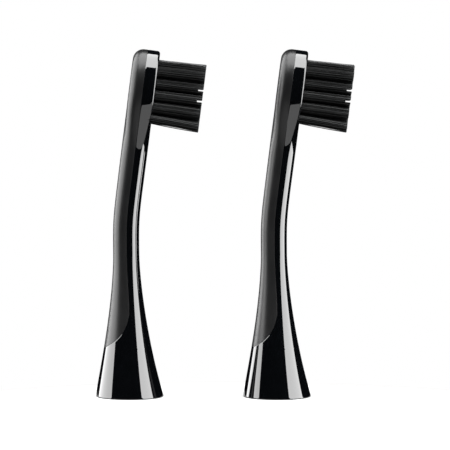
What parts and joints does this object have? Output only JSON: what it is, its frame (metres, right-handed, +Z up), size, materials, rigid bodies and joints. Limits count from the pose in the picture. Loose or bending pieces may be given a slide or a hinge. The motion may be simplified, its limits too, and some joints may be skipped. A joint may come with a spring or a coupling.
{
  "type": "sonic toothbrush refill heads",
  "caption": "Set of refill brush heads for a sonic toothbrush: flared hollow skirt, slim bent neck, soft-backed paddle, straight black bristle tufts and a sprung drive socket.",
  "frame": {"origin": "bottom centre of the set's box, on the surface that the skirts stand on", "axes": "+X the way the bristles point, +Y the left side of a head, +Z up along the drive axes"},
  "size_m": [0.0582, 0.0152, 0.0781],
  "materials": {
    "gloss_shell": "high-gloss moulded black",
    "soft_elastomer": "matt soft-touch black",
    "acetal_core": "natural acetal",
    "spring_steel": "bright rolled strip",
    "anchor_metal": "drawn flat wire",
    "nylon_bristle": "black nylon filament"
  },
  "bodies": {
    "left_head": {"left_clip_bridge": "spring_steel", "left_neck_shell": "gloss_shell", "left_shaft_core": "acetal_core", "left_soft_back": "soft_elastomer", "left_tuft_anchors": "anchor_metal", "left_tuft_row_1": "nylon_bristle", "left_tuft_row_2": "nylon_bristle", "left_tuft_row_3": "nylon_bristle", "left_tuft_row_4": "nylon_bristle", "left_tuft_row_5": "nylon_bristle"},
    "left_clip_leaf_left_body": {"left_clip_leaf_left": "spring_steel"},
    "left_clip_leaf_right_body": {"left_clip_leaf_right": "spring_steel"},
    "right_head": {"right_clip_bridge": "spring_steel", "right_neck_shell": "gloss_shell", "right_shaft_core": "acetal_core", "right_soft_back": "soft_elastomer", "right_tuft_anchors": "anchor_metal", "right_tuft_row_1": "nylon_bristle", "right_tuft_row_2": "nylon_bristle", "right_tuft_row_3": "nylon_bristle", "right_tuft_row_4": "nylon_bristle", "right_tuft_row_5": "nylon_bristle"},
    "right_clip_leaf_left_body": {"right_clip_leaf_left": "spring_steel"},
    "right_clip_leaf_right_body": {"right_clip_leaf_right": "spring_steel"}
  },
  "joints": [
    {"name": "right_head_lift", "type": "slide", "parent": "left_head", "child": "right_head", "axis": [0, 0, 1], "range_m": [0, 0.09]},
    {"name": "left_clip_left_flex", "type": "hinge", "parent": "left_head", "child": "left_clip_leaf_left_body", "pos_m": [-0.02139, 0.00195, 0.02], "axis": [1, 0, 0], "range_deg": [0, 2], "stiffness_Nm_per_rad": 1.4},
    {"name": "left_clip_right_flex", "type": "hinge", "parent": "left_head", "child": "left_clip_leaf_right_body", "pos_m": [-0.02139, -0.00195, 0.02], "axis": [-1, 0, 0], "range_deg": [0, 2], "stiffness_Nm_per_rad": 1.4},
    {"name": "right_clip_left_flex", "type": "hinge", "parent": "right_head", "child": "right_clip_leaf_left_body", "pos_m": [0.01171, 0.00195, 0.02], "axis": [1, 0, 0], "range_deg": [0, 2], "stiffness_Nm_per_rad": 1.4},
    {"name": "right_clip_right_flex", "type": "hinge", "parent": "right_head", "child": "right_clip_leaf_right_body", "pos_m": [0.01171, -0.00195, 0.02], "axis": [-1, 0, 0], "range_deg": [0, 2], "stiffness_Nm_per_rad": 1.4}
  ]
}
